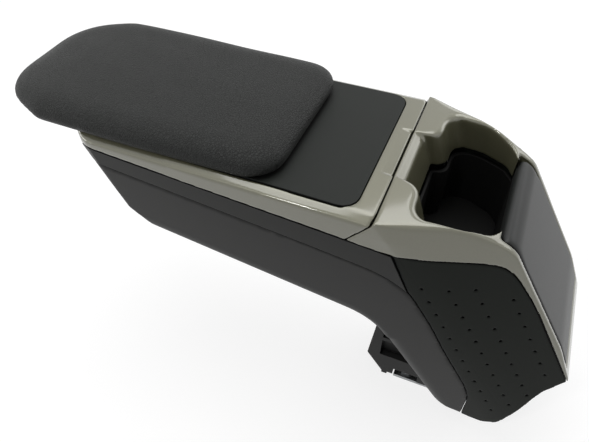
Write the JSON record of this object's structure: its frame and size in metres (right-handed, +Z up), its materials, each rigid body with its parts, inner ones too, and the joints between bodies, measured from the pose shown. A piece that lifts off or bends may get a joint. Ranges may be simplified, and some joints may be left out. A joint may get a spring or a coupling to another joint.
{
  "type": "car centre armrest",
  "caption": "Tilting centre armrest for a car: storage arm with a hinged lid, a sliding padded rest, a front pocket and a leg that pivots on a bolted adapter.",
  "frame": {"origin": "middle of the bolt pattern on the mounting face under the base plate", "axes": "+Z up, away from the mounting face; +X from the padded arm to the leg's front panel; +Y to the left flank"},
  "size_m": [0.3962, 0.1294, 0.2226],
  "materials": {
    "silver": "satin champagne silver",
    "dark": "fine textured dark grey",
    "cover": "fine textured dark grey with dimples",
    "panel": "satin dark grey",
    "black": "matt",
    "rubber": "matt",
    "leather": "fine grain",
    "steel": "zinc plated",
    "nylon": "matt"
  },
  "bodies": {
    "adapter": {"base_plate": "steel", "weld_nuts": "steel", "adapter_block": "dark", "stop_buffer": "rubber", "block_screws": "steel", "pivot_pin": "steel", "pivot_clips": "steel"},
    "console": {"hinge_frame": "steel", "pivot_bushes": "nylon", "frame_screws": "steel", "lower_shell": "dark", "storage_tub": "dark", "tub_mat": "rubber", "right_leg_cover": "cover", "left_leg_cover": "cover", "fascia": "silver", "front_panel": "panel", "pocket_liner": "black", "shell_screws": "steel", "lid_pin": "steel"},
    "lid": {"lid_frame": "silver", "lid_insert": "dark", "lid_liner": "black", "lid_bumpers": "rubber"},
    "pad": {"pad_base": "black", "pad_cushion": "leather"}
  },
  "joints": [
    {"name": "armrest_tilt", "type": "hinge", "parent": "adapter", "child": "console", "pos_m": [0.014, 0, 0.058], "axis": [0, 1, 0], "range_deg": [0, 75]},
    {"name": "lid_open", "type": "hinge", "parent": "console", "child": "lid", "pos_m": [-0.2595, 0, 0.1955], "axis": [0, -1, 0], "range_deg": [0, 75]},
    {"name": "pad_slide", "type": "slide", "parent": "lid", "child": "pad", "axis": [1, 0, 0], "range_m": [0, 0.052]}
  ]
}
